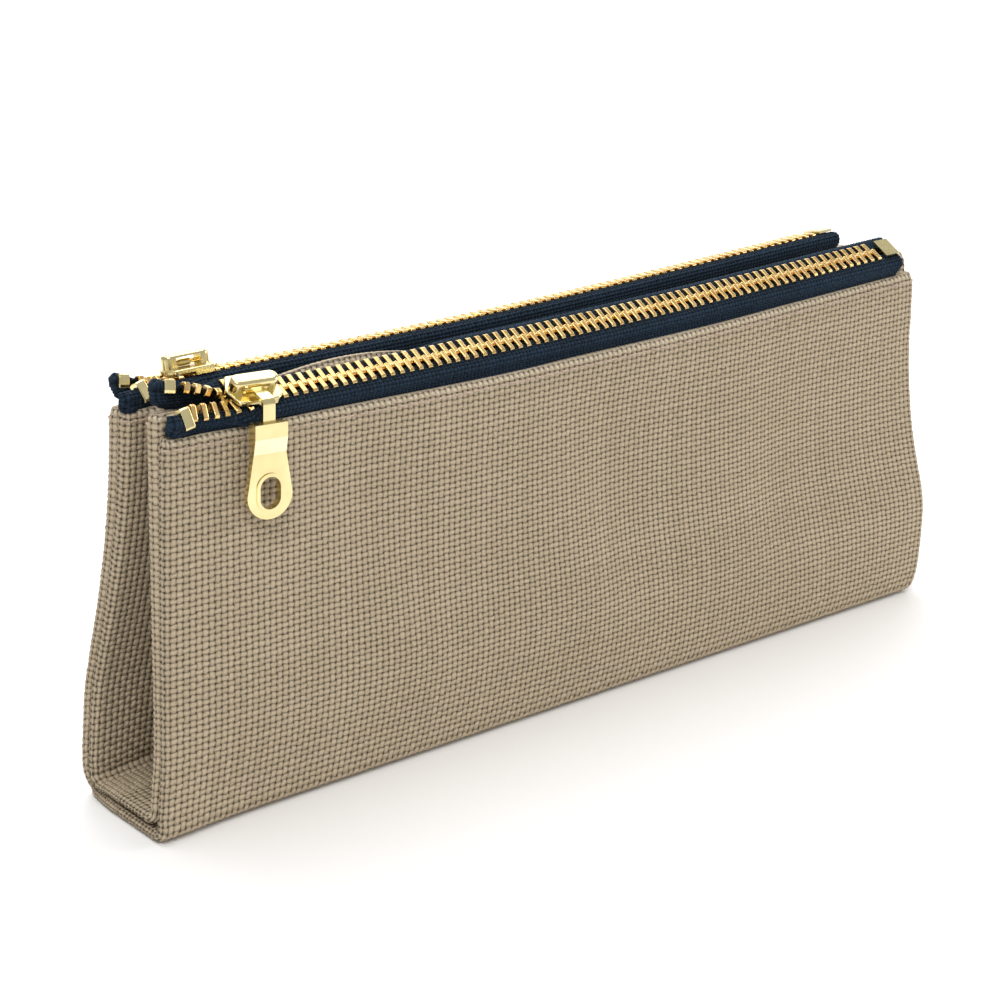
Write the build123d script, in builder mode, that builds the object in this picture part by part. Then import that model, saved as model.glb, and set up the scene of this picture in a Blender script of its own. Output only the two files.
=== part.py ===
from build123d import *
from math import cos, radians, sin
import os

# A standing twin-pocket pencil case: an outer and an inner sheet of canvas, both folded
# into a U, sewn together at the two ends, with a metal zip closing each of the two pouches.
# X runs along the case and the zips close towards -X, the near end. -Y is the front. +Z is up.
# The origin is at the middle of the base, on the surface that the case stands on.

# Canvas
CANVAS = 1.3            # thickness of one layer
BASE_HALF = 104.5       # half the length of the base
TOP_NEAR_X = -98.5      # ends of the top edges
TOP_FAR_X = 101.5
BASE_DEPTH = 31.0
FOLD_Z = 1.6            # height of the folds that the two pouches swing about
SEAM_GAP = 2.4          # two turned-in layers, pressed flat between the sheets
SEAM_WIDTH = 7.0
INNER_BASE_Z = CANVAS + SEAM_GAP
INNER_HALF = BASE_DEPTH / 2 - CANVAS - SEAM_GAP - CANVAS
FOLD_CLEARANCE = 0.8    # between the inner base and the inner walls

# Stitching
STITCH_LENGTH = 2.0
STITCH_PITCH = 2.6
STITCH_THICKNESS = 0.35
STITCH_DROP = 1.7       # below the edge it holds

# Zips
TOOTH_PITCH = 2.3
TOOTH_THICKNESS = 1.0   # along the chain
TOOTH_HALF_HEIGHT = 1.0
TOOTH_REACH = 0.55      # how far a tooth crosses the middle of the chain
ROW_HALF = 2.5          # from the middle of the chain to the back of a tooth
CLAMP_DEPTH = 1.75      # how far the tape sits in a tooth
CLAMP_GAP = 1.2
TAPE = 0.6
TAPE_EDGE = 1.15        # from the middle of the chain to the edge of the tape
TAPE_TURN = 4.35        # where the tape turns down towards the canvas
TAPE_TURN_MIN = 3.0     # and where the rows have parted
TAPE_DROP = 2.25        # how far it drops there before it meets the canvas
TAPE_HIDDEN = 7.0       # how far the tape is sewn down inside the pouch
TAPE_CLEARANCE = 0.15
ZIP_NEAR_X = -98.0
ZIP_FAR_X = 98.0
FIRST_TOOTH = 5.4       # from the near end of the tape
LAST_TOOTH = 190.0
STOP_PLACE = 2.6
STOP_LENGTH = 1.8
BOTTOM_STOP_LENGTH = 4.2

# Slider
SLIDER_LENGTH = 11.2
SLIDER_HALF_WIDTH = 3.75
CHANNEL_HALF = 3.0
CHANNEL_Z = 1.15        # from the chain's middle plane to the inside of a plate
PLATE_Z = 1.95          # and to its outside
FLANGE = 0.55
FLANGE_LENGTH = 4.0
FLANGE_GAP = 0.4        # half the slot that the tape runs out through
POST_HALF = 0.85
POST_PLACE = -3.7       # from the middle of the slider
POST_DRIFT = 1.75       # how far the post pushes each row aside
SLIDER_YAW = 5.0
CROWN_LENGTH = 10.0
CROWN_HALF_WIDTH = 1.6
CROWN_TOP = 4.75
CROWN_UNDER = 4.1
WINDOW_HALF = 2.7
AXLE_Z = 2.7
AXLE_OFFSET = 1.0       # towards the outer side, where the pull hangs
AXLE_R = 0.4
AXLE_HALF = 3.4

# Pull
EYE_R = 0.7
EYE_BORE = 0.46
NECK = 0.7              # thickness
NECK_WIDTH = 2.6
STAND_OFF = 4.5         # from the axle to the back of the plate
PULL_PLATE = 1.3
COLLAR_TOP = 5.4        # below the axle
COLLAR_HEIGHT = 2.9
COLLAR_BEVEL = 3.0
COLLAR_THICKNESS = 2.6
COLLAR_WIDTH = 7.0
DROP_DEPTH = 19.5       # from the axle to the centre of the round end
DROP_R = 4.85
PULL_HOLE_R = 2.2
PULL_HOLE_LENGTH = 6.4
RIM = 0.7               # width of the raised rim around the hole
RIM_HEIGHT = 0.25

# Each wall of cloth by its face away from the pocket: bottom y, top y at the near and far end,
# height of the top, outward swelling at mid length, and the direction of its thickness.
WALLS = {
    "front_panel": dict(low=-15.5, near=-11.8, far=-11.8, top=78.3, swell=-2.5, inward=1, foot=FOLD_Z),
    "front_inner_wall": dict(
        low=-INNER_HALF, near=-3.9, far=-3.9, top=82.1, swell=2.0, inward=-1, foot=INNER_BASE_Z
    ),
    "back_inner_wall": dict(
        low=INNER_HALF, near=1.9, far=7.7, top=80.5, swell=-2.0, inward=1, foot=INNER_BASE_Z
    ),
    "back_panel": dict(low=15.5, near=9.7, far=15.5, top=80.0, swell=1.0, inward=-1, foot=FOLD_Z),
}

# Each zip: the middle of its chain at both ends (y, z), its forward lean, where its slider rests,
# how far each row has drifted at the near end (across, up), and how the pull hangs.
ZIPS = {
    "front": dict(
        near=(-9.2, 82.9), far=(-9.2, 84.2), lean=30.0, outer=-1, slider=19.5,
        outer_drift=(-0.9, 0.1), inner_drift=(3.4, 2.6), hang=0.0,
        outer_wall="front_panel", inner_wall="front_inner_wall",
    ),
    "back": dict(
        near=(6.6, 83.5), far=(12.0, 84.0), lean=-10.0, outer=1, slider=16.0,
        outer_drift=(2.0, 1.8), inner_drift=(-1.4, -0.2), hang=3.0,
        outer_wall="back_panel", inner_wall="back_inner_wall",
    ),
}

pieces = {}


def keep(name, builder):
    builder.part.label = name
    pieces[name] = builder.part


# ---------------------------------------------------------------- canvas


def wall_ends(z, top):
    """x of the two slanting ends of a wall at height z."""
    rise = z / top
    near = -BASE_HALF + (TOP_NEAR_X + BASE_HALF) * rise
    far = BASE_HALF + (TOP_FAR_X - BASE_HALF) * rise
    return near, far


def wall_y(wall, z, share, swell_share=0.0):
    """y of a wall's face away from the pocket; share runs from 0, near end, to 1, far end."""
    rise = (z - wall["foot"]) / (wall["top"] - wall["foot"])
    top_y = wall["near"] + (wall["far"] - wall["near"]) * share
    return wall["low"] + (top_y - wall["low"]) * rise + wall["swell"] * rise * swell_share


def swell_at(x):
    """Share of a wall's swelling at x: none at the ends, all of it at mid length."""
    middle = (TOP_NEAR_X + TOP_FAR_X) / 2
    half = (TOP_FAR_X - TOP_NEAR_X) / 2
    return 1 - ((x - middle) / half) ** 2


def cloth_wall(wall):
    flat = 0.1
    with BuildPart() as cloth:
        for z, swell in ((wall["foot"], wall["inward"] * -flat), (wall["top"], wall["swell"])):
            near_x, far_x = wall_ends(z, wall["top"])
            near_y = wall_y(wall, z, 0)
            far_y = wall_y(wall, z, 1)
            middle = ((near_x + far_x) / 2, (near_y + far_y) / 2 + swell)
            step = wall["inward"] * CANVAS
            with BuildSketch(Plane.XY.offset(z)):
                with BuildLine():
                    ThreePointArc((near_x, near_y), middle, (far_x, far_y))
                    Line((far_x, far_y), (far_x, far_y + step))
                    ThreePointArc((far_x, far_y + step), (middle[0], middle[1] + step), (near_x, near_y + step))
                    Line((near_x, near_y + step), (near_x, near_y))
                make_face()
        loft(ruled=True)
    return cloth


def end_seam(outer, inner, near):
    """The seam allowances of both walls, turned in and pressed flat between them."""
    touch = 0.05
    share = 0 if near else 1
    inward = 1 if near else -1
    top = min(outer["top"], inner["top"]) - TAPE_HIDDEN - 1.5
    with BuildPart() as seam:
        for z in (INNER_BASE_Z, top):
            x_edge = wall_ends(z, outer["top"])[share]
            outer_face = wall_y(outer, z, share) + outer["inward"] * (CANVAS + touch)
            inner_face = wall_y(inner, z, share) + inner["inward"] * (CANVAS + touch)
            with BuildSketch(Plane.XY.offset(z)):
                Polygon(
                    (x_edge + inward * 0.3, outer_face),
                    (x_edge + inward * SEAM_WIDTH, outer_face),
                    (x_edge + inward * SEAM_WIDTH, inner_face),
                    (x_edge + inward * 0.3, inner_face),
                    align=None,
                )
        loft(ruled=True)
    return seam


def base_sheet(half_length, half_depth, z):
    with BuildPart() as sheet:
        with BuildSketch(Plane.XY.offset(z)):
            RectangleRounded(2 * half_length, 2 * half_depth, 1.0)
        extrude(amount=CANVAS)
    return sheet


def topstitch(wall):
    """A running stitch along the top edge of a wall, on its face away from the pocket."""
    z = wall["top"] - STITCH_DROP
    first = TOP_NEAR_X + 2.5
    count = int((TOP_FAR_X - TOP_NEAR_X - 5.0) / STITCH_PITCH)
    gap = 0.12
    places = []
    for index in range(count):
        x = first + (index + 0.5) * STITCH_PITCH
        share = (x - TOP_NEAR_X) / (TOP_FAR_X - TOP_NEAR_X)
        y = wall_y(wall, z, share, swell_at(x)) - wall["inward"] * (gap + STITCH_THICKNESS / 2)
        places.append((x, y, z))
    with BuildPart() as thread:
        with Locations(*places):
            Box(STITCH_LENGTH, STITCH_THICKNESS, STITCH_THICKNESS)
    return thread


for wall_name, wall_shape in WALLS.items():
    keep(wall_name, cloth_wall(wall_shape))
    keep(wall_name + "_topstitch", topstitch(wall_shape))

for side in ("front", "back"):
    outer_wall = WALLS[side + "_panel"]
    inner_wall = WALLS[side + "_inner_wall"]
    keep(side + "_near_end_seam", end_seam(outer_wall, inner_wall, True))
    keep(side + "_far_end_seam", end_seam(outer_wall, inner_wall, False))

keep("outer_base", base_sheet(BASE_HALF, BASE_DEPTH / 2, 0))
keep("inner_base", base_sheet(BASE_HALF - 0.5, INNER_HALF - FOLD_CLEARANCE, INNER_BASE_Z))

for end_name, end_sign in (("near", -1), ("far", 1)):
    with BuildPart() as base_seam:
        with BuildSketch(Plane.XY.offset(CANVAS)):
            with Locations((end_sign * (BASE_HALF - 0.8 - SEAM_WIDTH / 2), 0)):
                Rectangle(SEAM_WIDTH, 2 * (INNER_HALF - FOLD_CLEARANCE))
        extrude(amount=SEAM_GAP)
    keep(end_name + "_base_seam", base_seam)


# ---------------------------------------------------------------- zips


def chain_plane(zip_shape):
    """Plane of a closed chain: origin at its near end, x along it, y across it, z out of it."""
    near = Vector(ZIP_NEAR_X, *zip_shape["near"])
    far = Vector(ZIP_FAR_X, *zip_shape["far"])
    along = (far - near).normalized()
    across = Vector(0, cos(radians(zip_shape["lean"])), sin(radians(zip_shape["lean"])))
    return Plane(origin=near, x_dir=along, z_dir=along.cross(across))


def parting(zip_shape):
    """Places where the rows leave the slider, pass its post and meet, from the near end."""
    slider = zip_shape["slider"]
    return slider - 6.2, slider - 2.6, slider


def drift(zip_shape, side, place):
    """How far a row has left its closed line at a place along the chain (across, up)."""
    end = zip_shape["outer_drift"] if side == zip_shape["outer"] else zip_shape["inner_drift"]
    leave, post, meet = parting(zip_shape)
    at_post = side * POST_DRIFT - POST_PLACE * sin(radians(SLIDER_YAW))
    if place >= meet:
        return 0.0, 0.0
    if place >= post:
        return at_post * (meet - place) / (meet - post), 0.0
    share = max(leave - place, 0) / leave
    return at_post + (end[0] - at_post) * share, end[1] * share


def tape_profile(zip_shape, side, wall, x):
    """Points of a tape's cross-section at x, as (y, z)."""
    place = x - ZIP_NEAR_X
    share = place / (ZIP_FAR_X - ZIP_NEAR_X)
    centre_y = zip_shape["near"][0] + (zip_shape["far"][0] - zip_shape["near"][0]) * share
    centre_z = zip_shape["near"][1] + (zip_shape["far"][1] - zip_shape["near"][1]) * share
    lean = radians(zip_shape["lean"])
    across, up = drift(zip_shape, side, place)

    def on_chain(u, drop=0.0):
        u = u + across
        w = up - drop
        return Vector(centre_y + u * cos(lean) - w * sin(lean), centre_z + u * sin(lean) + w * cos(lean))

    def on_wall(z):
        face = wall_y(wall, z, share, max(swell_at(x), 0))
        return Vector(face + wall["inward"] * (CANVAS + TAPE_CLEARANCE + TAPE / 2), z)

    turn = max(TAPE_TURN - side * across, TAPE_TURN_MIN)
    hem = wall["top"] + TAPE / 2 + TAPE_CLEARANCE
    foot = wall["top"] - TAPE_HIDDEN
    shoulder = [on_chain(side * TAPE_EDGE), on_chain(side * turn), on_chain(side * turn, TAPE_DROP)]
    return ribbon([*shoulder, on_wall(hem), on_wall(foot)])


def ribbon(line, thickness=TAPE):
    """Outline of a strip of even thickness about a bent line of (y, z) points."""
    steps = [(after - before).normalized() for before, after in zip(line, line[1:])]
    normals = [Vector(-step.Y, step.X) for step in steps]
    left = []
    right = []
    for index, point in enumerate(line):
        before = normals[max(index - 1, 0)]
        after = normals[min(index, len(normals) - 1)]
        mitre = (before + after).normalized()
        reach = mitre * (thickness / 2 / mitre.dot(after))
        left.append(point + reach)
        right.append(point - reach)
    return [(point.X, point.Y) for point in left + right[::-1]]


def zip_tape(zip_shape, side, wall):
    parted = [ZIP_NEAR_X + place for place in parting(zip_shape)]
    stations = (ZIP_NEAR_X, *parted, -35.0, 0.0, 45.0, ZIP_FAR_X)
    with BuildPart() as tape:
        for x in stations:
            with BuildSketch(Plane.YZ.offset(x)):
                Polygon(*tape_profile(zip_shape, side, wall, x), align=None)
        loft(ruled=True)
    return tape


def clamp(length, reach, half_height, depth):
    """A metal block along x that grips the tape edge; y points from its head to its back."""
    with BuildPart() as block:
        with BuildSketch(Plane.YZ):
            with Locations(((ROW_HALF - reach) / 2, 0)):
                Rectangle(ROW_HALF + reach, 2 * half_height)
            with Locations((ROW_HALF - depth / 2, 0)):
                Rectangle(depth, CLAMP_GAP, mode=Mode.SUBTRACT)
        extrude(amount=length / 2, both=True)
    return block.part


def on_row(zip_shape, side, place):
    """Where a clamp sits in a row, in the chain's plane."""
    across, up = drift(zip_shape, side, place)
    return Location((place, across, up), (0, 0, 0 if side > 0 else 180))


def place_clamps(zip_shape, side, block, places):
    plane = chain_plane(zip_shape)
    with BuildPart() as row:
        with Locations(*[plane.location * on_row(zip_shape, side, place) for place in places]):
            add(block)
    return row


def tooth_places(side):
    start = FIRST_TOOTH if side < 0 else FIRST_TOOTH + TOOTH_PITCH / 2
    count = int((LAST_TOOTH - start) / TOOTH_PITCH)
    return [start + index * TOOTH_PITCH for index in range(count + 1)]


tooth = clamp(TOOTH_THICKNESS, TOOTH_REACH, TOOTH_HALF_HEIGHT, CLAMP_DEPTH)
top_stop = clamp(STOP_LENGTH, -0.35, 1.1, CLAMP_DEPTH)

for zip_name, zip_shape in ZIPS.items():
    for role in ("outer", "inner"):
        side = zip_shape["outer"] if role == "outer" else -zip_shape["outer"]
        stem = f"{zip_name}_zip_{role}_"
        keep(stem + "tape", zip_tape(zip_shape, side, WALLS[zip_shape[role + "_wall"]]))
        keep(stem + "teeth", place_clamps(zip_shape, side, tooth, tooth_places(side)))
        keep(stem + "top_stop", place_clamps(zip_shape, side, top_stop, [STOP_PLACE]))

    # The bottom stop grips both tapes at the far end of the chain.
    stop_plane = chain_plane(zip_shape)
    stop_start = LAST_TOOTH + TOOTH_PITCH / 2 + 0.4
    with BuildPart() as bottom_stop:
        with BuildSketch(stop_plane.offset(-1.1)):
            with Locations((stop_start + BOTTOM_STOP_LENGTH / 2, 0)):
                Rectangle(BOTTOM_STOP_LENGTH, 2 * ROW_HALF)
        extrude(amount=2.2)
        for side in (-1, 1):
            with BuildSketch(stop_plane.offset(-CLAMP_GAP / 2)):
                with Locations((stop_start + BOTTOM_STOP_LENGTH / 2, side * (ROW_HALF - CLAMP_DEPTH / 2))):
                    Rectangle(BOTTOM_STOP_LENGTH + 1, CLAMP_DEPTH)
            extrude(amount=CLAMP_GAP, mode=Mode.SUBTRACT)
    keep(f"{zip_name}_zip_bottom_stop", bottom_stop)


# ---------------------------------------------------------------- sliders and pulls


def slider_plane(zip_shape):
    """The chain's plane at the slider, turned a little as the rows pull it."""
    plane = chain_plane(zip_shape)
    middle = plane.from_local_coords(Vector(zip_shape["slider"], 0, 0))
    turned = plane.x_dir.rotate(Axis((0, 0, 0), plane.z_dir), -SLIDER_YAW)
    return Plane(origin=middle, x_dir=turned, z_dir=plane.z_dir)


def plate_outline():
    """Heart-like outline of the slider's two plates, its broad shoulders at the near end."""
    half = SLIDER_LENGTH / 2
    with BuildSketch() as outline:
        with BuildLine():
            Polyline(
                (-half, 0),
                (-half + 1.5, SLIDER_HALF_WIDTH),
                (0, SLIDER_HALF_WIDTH),
                (half - 1.2, CHANNEL_HALF + FLANGE),
                (half, CHANNEL_HALF - 0.4),
                (half, -CHANNEL_HALF + 0.4),
                (half - 1.2, -CHANNEL_HALF - FLANGE),
                (0, -SLIDER_HALF_WIDTH),
                (-half + 1.5, -SLIDER_HALF_WIDTH),
                close=True,
            )
        make_face()
        fillet(outline.vertices(), 0.8)
    return outline.sketch


def slider_body(plane):
    outline = plate_outline()
    with BuildPart() as body:
        for low in (-PLATE_Z, CHANNEL_Z):
            with BuildSketch(plane.offset(low)):
                add(outline)
            extrude(amount=PLATE_Z - CHANNEL_Z)
        outer_edges = body.edges().filter_by(lambda edge: abs(plane.to_local_coords(edge.center()).Z) > PLATE_Z - 0.01)
        fillet(outer_edges, 0.3)
        for low in (-CHANNEL_Z, FLANGE_GAP):
            with BuildSketch(plane.offset(low)):
                for side in (-1, 1):
                    with Locations((0.3 + FLANGE_LENGTH / 2, side * (CHANNEL_HALF + FLANGE / 2))):
                        Rectangle(FLANGE_LENGTH, FLANGE)
            extrude(amount=CHANNEL_Z - FLANGE_GAP)
        with BuildSketch(plane.offset(-CHANNEL_Z)):
            with Locations((POST_PLACE, 0)):
                Polygon((-1.3, 0), (0, POST_HALF), (1.3, 0), (0, -POST_HALF), align=None)
        extrude(amount=2 * CHANNEL_Z)
        with BuildSketch(plane.offset(CHANNEL_Z)):
            with Locations((CROWN_LENGTH / 2 - 1.2, 0)):
                Rectangle(0.9, 0.9)
        extrude(amount=PLATE_Z - CHANNEL_Z, mode=Mode.SUBTRACT)
    return body


def axle_plane(plane, outer):
    """Plane across the axle at its near end."""
    return Plane(plane.from_local_coords(Vector(-AXLE_HALF, outer * AXLE_OFFSET, AXLE_Z)), z_dir=plane.x_dir)


def slider_crown(plane, outer):
    """Long rounded bridge over the slider, open at both sides where the pull's eye hangs."""
    height = CROWN_TOP - PLATE_Z
    with BuildPart() as crown:
        with BuildSketch(plane.offset(PLATE_Z)):
            SlotOverall(CROWN_LENGTH, 2 * CROWN_HALF_WIDTH)
        extrude(amount=height)
        top = crown.faces().sort_by(Axis(plane.origin, plane.z_dir))[-1]
        fillet(top.edges(), 0.8)
        with BuildSketch(plane.offset(PLATE_Z)):
            Rectangle(2 * WINDOW_HALF, 2 * CROWN_HALF_WIDTH + 1)
        extrude(amount=CROWN_UNDER - PLATE_Z, mode=Mode.SUBTRACT)
        with BuildSketch(axle_plane(plane, outer)):
            Circle(AXLE_R)
        extrude(amount=2 * AXLE_HALF, mode=Mode.SUBTRACT)
        with BuildSketch(plane.offset(PLATE_Z)):
            with Locations((CROWN_LENGTH / 2 - 1.3, 0)):
                Rectangle(1.3, 1.3)
        extrude(amount=CROWN_UNDER - PLATE_Z, mode=Mode.SUBTRACT)
    return crown


def slider_axle(plane, outer):
    with BuildPart() as axle:
        with BuildSketch(axle_plane(plane, outer)):
            Circle(AXLE_R)
        extrude(amount=2 * AXLE_HALF)
    return axle


def lock_spring(plane):
    """Leaf in the tail of the crown, with the pawl that drops through the top plate."""
    with BuildPart() as spring:
        with BuildSketch(plane.offset(CHANNEL_Z)):
            with Locations((CROWN_LENGTH / 2 - 1.2, 0)):
                Rectangle(0.6, 0.6)
        extrude(amount=2.2)
        with BuildSketch(plane.offset(CHANNEL_Z + 2.2)):
            with Locations((CROWN_LENGTH / 2 - 1.3, 0)):
                Rectangle(1.0, 1.1)
        extrude(amount=0.35)
    return spring


def pull_planes(zip_shape):
    """Front view plane (x along the slider, y up, z outward) and side view plane of a pull."""
    plane = slider_plane(zip_shape)
    pivot = plane.from_local_coords(Vector(0, zip_shape["outer"] * AXLE_OFFSET, AXLE_Z))
    axis = Axis(pivot, plane.x_dir * zip_shape["outer"])
    outward = Vector(0, zip_shape["outer"], 0)
    outward = (outward - plane.x_dir * outward.dot(plane.x_dir)).normalized()
    outward = outward.rotate(Axis((0, 0, 0), plane.x_dir), zip_shape["hang"] * zip_shape["outer"])
    face_x = plane.x_dir * -zip_shape["outer"]
    front = Plane(origin=pivot, x_dir=face_x, z_dir=outward)
    side = Plane(origin=pivot, x_dir=outward, z_dir=outward.cross(front.y_dir))
    return front, side, axis


def pull(zip_shape):
    """Eye on the axle, a bent neck over the slider's edge, a thick collar and a drop-shaped plate."""
    front, side, _ = pull_planes(zip_shape)
    bend = (STAND_OFF + PULL_PLATE / 2, -1.2)
    with BuildPart() as body:
        with BuildSketch(side):
            Circle(EYE_R)
            with BuildLine():
                path = FilletPolyline((EYE_R * 0.8, 0), bend, (bend[0], -COLLAR_TOP - 0.3), radius=1.0)
            trace(path, line_width=NECK)
            Circle(EYE_BORE, mode=Mode.SUBTRACT)
        extrude(amount=NECK_WIDTH / 2, both=True)
        with BuildSketch(front.offset(STAND_OFF)):
            with BuildLine():
                top_y = -COLLAR_TOP
                waist_y = -COLLAR_TOP - COLLAR_HEIGHT - COLLAR_BEVEL
                Polyline(
                    (-COLLAR_WIDTH / 2, waist_y),
                    (-COLLAR_WIDTH / 2, top_y),
                    (COLLAR_WIDTH / 2, top_y),
                    (COLLAR_WIDTH / 2, waist_y),
                )
                Line((COLLAR_WIDTH / 2, waist_y), (DROP_R, -DROP_DEPTH))
                ThreePointArc((DROP_R, -DROP_DEPTH), (0, -DROP_DEPTH - DROP_R), (-DROP_R, -DROP_DEPTH))
                Line((-DROP_R, -DROP_DEPTH), (-COLLAR_WIDTH / 2, waist_y))
            make_face()
        extrude(amount=PULL_PLATE)
        with BuildSketch(side):
            with BuildLine():
                back = STAND_OFF - (COLLAR_THICKNESS - PULL_PLATE) / 2
                Polyline(
                    (STAND_OFF, -COLLAR_TOP - COLLAR_HEIGHT - COLLAR_BEVEL),
                    (back, -COLLAR_TOP - COLLAR_HEIGHT),
                    (back, -COLLAR_TOP),
                    (back + COLLAR_THICKNESS, -COLLAR_TOP),
                    (back + COLLAR_THICKNESS, -COLLAR_TOP - COLLAR_HEIGHT),
                    (STAND_OFF + PULL_PLATE, -COLLAR_TOP - COLLAR_HEIGHT - COLLAR_BEVEL),
                    close=True,
                )
            make_face()
        extrude(amount=COLLAR_WIDTH / 2, both=True)
        with BuildSketch(front.offset(STAND_OFF - RIM_HEIGHT)):
            with Locations((0, -DROP_DEPTH + 0.4)):
                SlotOverall(PULL_HOLE_LENGTH + 2 * RIM, 2 * (PULL_HOLE_R + RIM), rotation=90)
        extrude(amount=PULL_PLATE + 2 * RIM_HEIGHT)
        with BuildSketch(front.offset(STAND_OFF - 1)):
            with Locations((0, -DROP_DEPTH + 0.4)):
                SlotOverall(PULL_HOLE_LENGTH, 2 * PULL_HOLE_R, rotation=90)
        extrude(amount=PULL_PLATE + 2, mode=Mode.SUBTRACT)
    return body


for zip_name, zip_shape in ZIPS.items():
    plane = slider_plane(zip_shape)
    keep(f"{zip_name}_slider_body", slider_body(plane))
    keep(f"{zip_name}_slider_crown", slider_crown(plane, zip_shape["outer"]))
    keep(f"{zip_name}_slider_axle", slider_axle(plane, zip_shape["outer"]))
    keep(f"{zip_name}_slider_lock_spring", lock_spring(plane))
    keep(f"{zip_name}_pull", pull(zip_shape))
    hinge = pull_planes(zip_shape)[2]
    print(zip_name, "slide along", tuple(chain_plane(zip_shape).x_dir))
    print(zip_name, "pull axle", tuple(hinge.position), tuple(hinge.direction))

os.makedirs("parts", exist_ok=True)
for name, piece in pieces.items():
    export_step(piece, f"parts/{name}.step")
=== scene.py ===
"""Looks of a standing twin-pocket pencil case: woven canvas, navy zip tapes and pale gold metal.

Lengths are in millimetres until to_metres() turns them into the frame's metres.
X runs along the case, its open zip ends at -X. -Y is the front. +Z is up.
"""

from math import cos, pi, radians, sin

import bmesh
import bpy
import numpy as np
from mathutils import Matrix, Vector


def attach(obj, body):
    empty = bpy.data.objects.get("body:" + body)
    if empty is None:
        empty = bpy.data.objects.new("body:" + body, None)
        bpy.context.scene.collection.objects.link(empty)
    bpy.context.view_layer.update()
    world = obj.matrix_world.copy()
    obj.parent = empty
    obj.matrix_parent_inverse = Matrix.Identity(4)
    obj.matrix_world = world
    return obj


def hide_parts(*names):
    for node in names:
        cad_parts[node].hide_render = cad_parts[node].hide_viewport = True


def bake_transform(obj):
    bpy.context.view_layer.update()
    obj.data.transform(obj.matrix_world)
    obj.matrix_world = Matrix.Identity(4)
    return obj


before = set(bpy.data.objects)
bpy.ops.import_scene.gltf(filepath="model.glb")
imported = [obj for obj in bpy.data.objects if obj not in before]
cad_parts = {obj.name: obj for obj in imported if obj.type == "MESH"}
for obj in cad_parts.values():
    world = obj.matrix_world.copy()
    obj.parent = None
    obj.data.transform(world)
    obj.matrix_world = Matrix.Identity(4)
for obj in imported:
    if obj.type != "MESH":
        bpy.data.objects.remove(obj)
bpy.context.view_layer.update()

MM = 0.001

# ---------------------------------------------------------------- sizes shared with the CAD model

CANVAS = 1.25
BASE_HALF = 104.5
TOP_NEAR_X = -98.5
TOP_FAR_X = 101.5
BASE_HALF_DEPTH = 15.5
INNER_HALF_DEPTH = 10.5
OUTER_BASE_Z = 0.22         # underside, with room for the weave above the floor
INNER_BASE_Z = 4.3          # upper side of the tunnel's floor
WALLS = {
    "front_panel": dict(low=-15.5, near=-11.8, far=-11.8, top=78.3, swell=-2.5, foot=1.6),
    "front_inner_wall": dict(low=-10.5, near=-3.9, far=-3.9, top=82.1, swell=2.0, foot=3.7),
    "back_inner_wall": dict(low=10.5, near=1.9, far=7.7, top=80.5, swell=-2.0, foot=3.7),
    "back_panel": dict(low=15.5, near=9.7, far=15.5, top=80.0, swell=1.0, foot=1.6),
}
ZIP_NEAR_X = -98.0
ZIP_FAR_X = 98.0
TOOTH_PITCH = 2.3
FIRST_TOOTH = 5.4
LAST_TOOTH = 190.0
STOP_PLACE = 2.6
POST_DRIFT = 1.75
POST_SHIFT = 0.32
TAPE = 0.6
TAPE_EDGE = 1.15
TAPE_TURN = 4.35
TAPE_TURN_MIN = 3.0
TAPE_DROP = 2.25
TAPE_HIDDEN = 7.0
TAPE_END = 196.0            # place along the zip where its tapes end
# Each zip as in the CAD model, and end_lean: how far each row has twisted at its open end.
ZIPS = {
    "front": dict(
        near=(-9.2, 82.9), far=(-9.2, 84.2), lean=30.0, outer=-1, slider=19.5,
        outer_drift=(-0.6, 1.0), inner_drift=(3.4, 2.6), outer_end_lean=72.0, inner_end_lean=-18.0,
        outer_inset=0.8, inner_inset=1.2,
        outer_wall="front_panel", inner_wall="front_inner_wall",
    ),
    "back": dict(
        near=(6.6, 83.5), far=(12.0, 84.0), lean=-10.0, outer=1, slider=16.0,
        outer_drift=(2.0, 1.8), inner_drift=(-1.4, -0.2), outer_end_lean=-18.0, inner_end_lean=65.0,
        outer_inset=2.4, inner_inset=-0.4,
        outer_wall="back_panel", inner_wall="back_inner_wall",
    ),
}

# ---------------------------------------------------------------- wear that only the visual model has

TOP_SAG = 1.4               # how far the zips and top edges hang down half way along
LIFT_START = -80.0          # where the front pouch's inner wall starts to stand up, and over what length
LIFT_LENGTH = 52.0
LIFT_HEIGHT = 3.6
LIFT_ASIDE = 1.2
LIFT_REACH = 12.0           # how far down the wall the lift is felt
FRONT_SHIFT = 1.2           # how far the front pouch's foot sits forward at its open end
BACK_SHIFT = 2.6            # and the back pouch's
FRONT_TOE = 0.7             # how far the front panel's foot stands forward all along

# ---------------------------------------------------------------- camera, light and floor


CAMERA_AZIMUTH = -38.83
CAMERA_ELEVATION = 19.43
CAMERA_PLACE = (-324.8, -390.7, 221.2)


def make_camera():
    """A long lens from the front left, a little above the case."""
    azimuth, elevation = radians(CAMERA_AZIMUTH), radians(CAMERA_ELEVATION)
    back = Vector((sin(azimuth) * cos(elevation), -cos(azimuth) * cos(elevation), sin(elevation)))
    data = bpy.data.cameras.new("camera")
    data.lens = 90.0
    data.sensor_width = 36.0
    camera = bpy.data.objects.new("camera", data)
    bpy.context.scene.collection.objects.link(camera)
    camera.location = Vector(CAMERA_PLACE) * MM
    camera.rotation_mode = "QUATERNION"
    camera.rotation_quaternion = (-back).to_track_quat("-Z", "Y")
    data.clip_start, data.clip_end = 0.01, 20.0
    bpy.context.scene.camera = camera


LIGHT_TARGET = (0.0, 0.0, 0.04)
WARM_WHITE = (1.0, 0.985, 0.96)
WORLD_STRENGTH = 0.5
FLOOR_HALF = 3.0


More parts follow.
